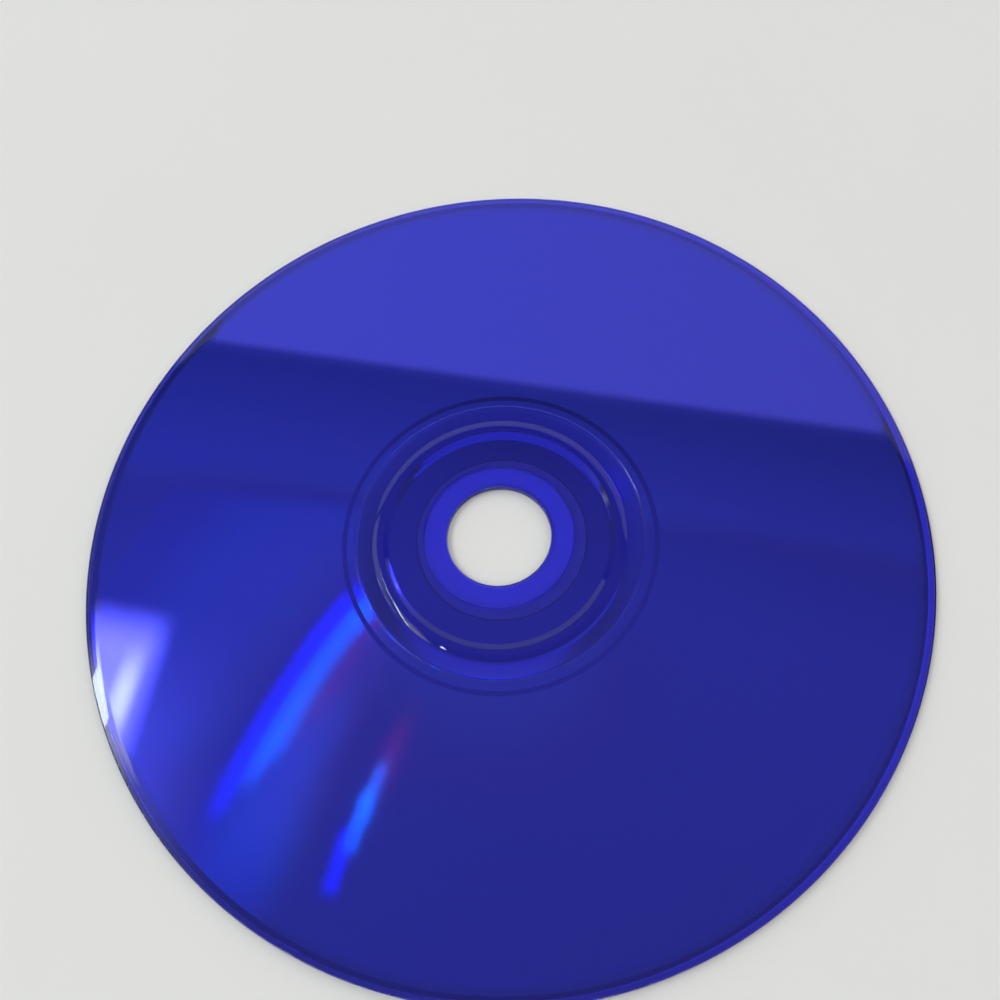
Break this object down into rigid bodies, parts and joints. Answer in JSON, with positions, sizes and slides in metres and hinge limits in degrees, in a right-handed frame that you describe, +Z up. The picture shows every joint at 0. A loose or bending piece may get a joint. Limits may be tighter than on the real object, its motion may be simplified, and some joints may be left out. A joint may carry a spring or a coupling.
{
  "type": "optical game disc",
  "caption": "Flat round optical disc of blue-tinted clear plastic with a centre hole, a raised stacking ring and a mirror coat on its underside; it holds a game's data.",
  "frame": {"origin": "on the disc's axis at its underside, the label side it lies on", "axes": "+Z up along the disc's axis, out of the data side"},
  "size_m": [0.12, 0.12, 0.0014],
  "materials": {
    "tinted_plastic": "polished, clear, tinted deep blue",
    "mirror_coat": "mirror-bright film under clear lacquer"
  },
  "bodies": {
    "root": {"substrate": "tinted_plastic", "reflective_layer": "mirror_coat"}
  },
  "joints": []
}
